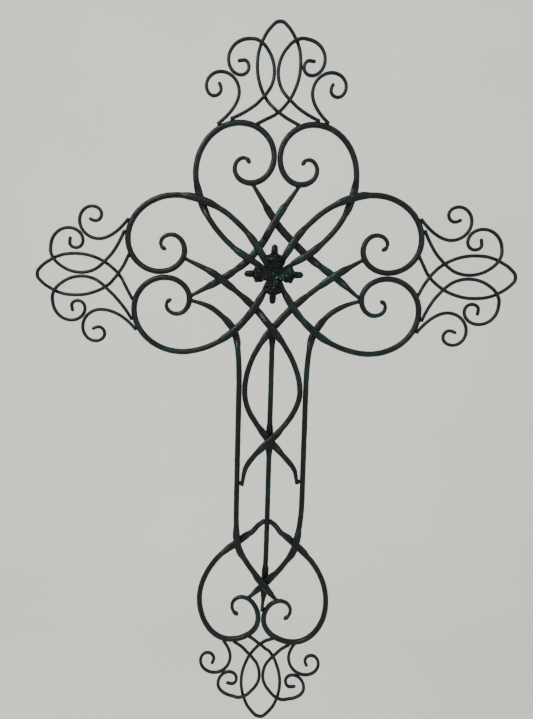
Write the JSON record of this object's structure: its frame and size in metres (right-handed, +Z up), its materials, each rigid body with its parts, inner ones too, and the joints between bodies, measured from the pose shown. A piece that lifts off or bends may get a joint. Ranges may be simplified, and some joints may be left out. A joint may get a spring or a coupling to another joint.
{
  "type": "wrought iron cross",
  "caption": "Flat openwork wall cross of scrolled round iron bar, with curled wire finials at the arm ends and a leaf rosette at the crossing.",
  "frame": {"origin": "hanging point: the axis of a 4 mm nail that fits under the contact of the two top scrolls, in the middle of the bars' thickness", "axes": "+Z up the cross's long axis, +X to the right as seen from the front, +Y towards the wall; the front faces -Y"},
  "size_m": [0.6743, 0.0287, 1.0064],
  "materials": {
    "bar_iron": "dark hammered iron, satin, with green and brown patina",
    "wire_iron": "dark iron wire, satin, with green patina",
    "rosette_iron": "dark green-black cast leaves, satin",
    "rivet_iron": "dark green rivet head, satin"
  },
  "bodies": {
    "root": {"s_scroll_front": "bar_iron", "s_scroll_rear": "bar_iron", "top_scroll_left": "bar_iron", "top_scroll_right": "bar_iron", "lattice_bar_front": "bar_iron", "lattice_bar_rear": "bar_iron", "wave_bar_front": "bar_iron", "wave_bar_rear": "bar_iron", "centre_upright": "bar_iron", "side_rail_left": "bar_iron", "side_rail_right": "bar_iron", "foot_scroll_left": "bar_iron", "foot_scroll_right": "bar_iron", "top_finial_arch": "wire_iron", "top_finial_inner_left": "wire_iron", "top_finial_outer_left": "wire_iron", "top_finial_inner_right": "wire_iron", "top_finial_outer_right": "wire_iron", "left_finial_arch": "wire_iron", "left_finial_inner_upper": "wire_iron", "left_finial_outer_upper": "wire_iron", "left_finial_inner_lower": "wire_iron", "left_finial_outer_lower": "wire_iron", "right_finial_arch": "wire_iron", "right_finial_inner_upper": "wire_iron", "right_finial_outer_upper": "wire_iron", "right_finial_inner_lower": "wire_iron", "right_finial_outer_lower": "wire_iron", "foot_finial_arch": "wire_iron", "foot_finial_inner_left": "wire_iron", "foot_finial_outer_left": "wire_iron", "foot_finial_inner_right": "wire_iron", "foot_finial_outer_right": "wire_iron", "rosette": "rosette_iron", "rosette_rivet": "rivet_iron"}
  },
  "joints": []
}
